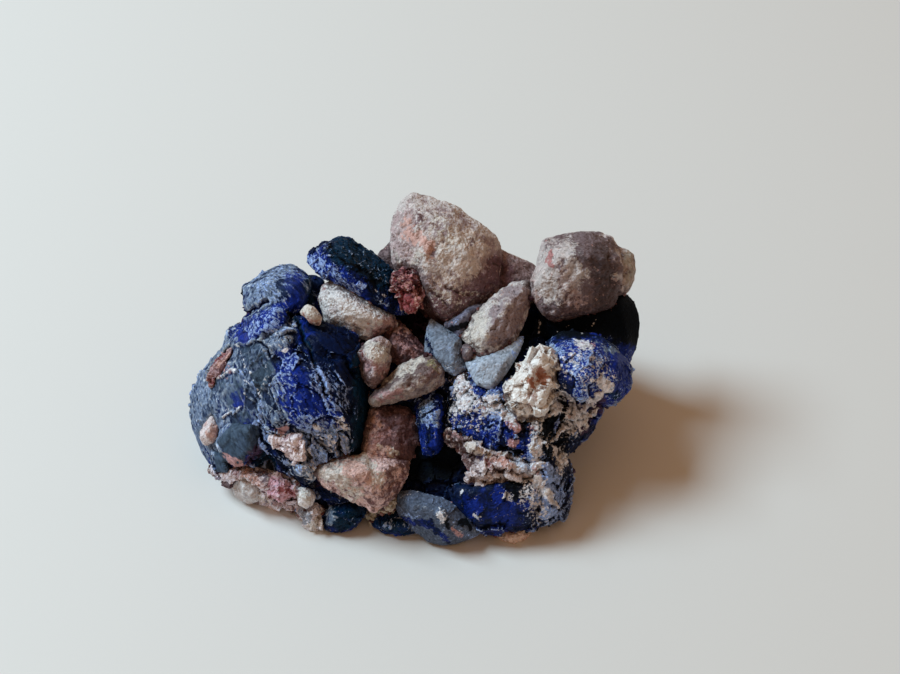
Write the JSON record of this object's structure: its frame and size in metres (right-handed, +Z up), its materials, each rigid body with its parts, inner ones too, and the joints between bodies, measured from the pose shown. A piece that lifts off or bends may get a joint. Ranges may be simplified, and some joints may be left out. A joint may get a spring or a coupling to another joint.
{
  "type": "mineral specimen",
  "caption": "Cluster of deep blue azurite crystals grown together round rounded stones of pale, pink and mauve rock, resting on a flat foot.",
  "frame": {"origin": "centre of the specimen's box, on the table plane under its flat foot", "axes": "+X to the right of the show side, +Y away from the viewer, +Z up"},
  "size_m": [0.0502, 0.031, 0.0256],
  "materials": {
    "azurite": "deep blue crystal, glassy where clean, with a pale dusty bloom on its edges",
    "dusty_azurite": "slate blue crystal plates under a thin grey bloom",
    "pale_stone": "rough pale tan and pinkish stone with fine grains and pits",
    "mauve_stone": "rough mauve brown stone with dark pits",
    "pink_stone": "crumbly salmon and red stained stone",
    "quartz": "sugary white quartz with rusty pockets"
  },
  "bodies": {
    "root": {"boot_stone": "pink_stone", "long_pebble": "pale_stone", "small_pebble": "pale_stone", "bead_grain": "quartz", "leaning_pebble": "pale_stone", "quartz_crystal": "quartz", "white_pebble": "pale_stone", "knob_stone": "mauve_stone", "azurite_back_blade": "azurite", "pink_crust": "pink_stone", "peak_stone": "pale_stone", "back_chip": "mauve_stone", "brown_wedge": "mauve_stone", "azurite_centre_blade": "azurite", "azurite_tip_plate": "dusty_azurite", "azurite_upper_plate": "dusty_azurite", "azurite_violet_plate": "dusty_azurite", "mauve_lens": "mauve_stone", "crumbly_matrix": "pink_stone", "azurite_slate_plate": "dusty_azurite", "stub_stone": "pink_stone", "azurite_foot_lump": "azurite", "azurite_front_lump": "azurite", "tan_cement": "pale_stone", "white_grain": "quartz", "foot_matrix": "pale_stone", "azurite_under_boot": "azurite", "grey_pebble": "quartz", "rose_crystals": "pink_stone", "corner_matrix": "pink_stone", "rose_streak": "pink_stone", "edge_nub": "pale_stone", "beige_inclusion": "pale_stone", "azurite_left_mass": "azurite", "azurite_right_mass": "azurite"}
  },
  "joints": []
}
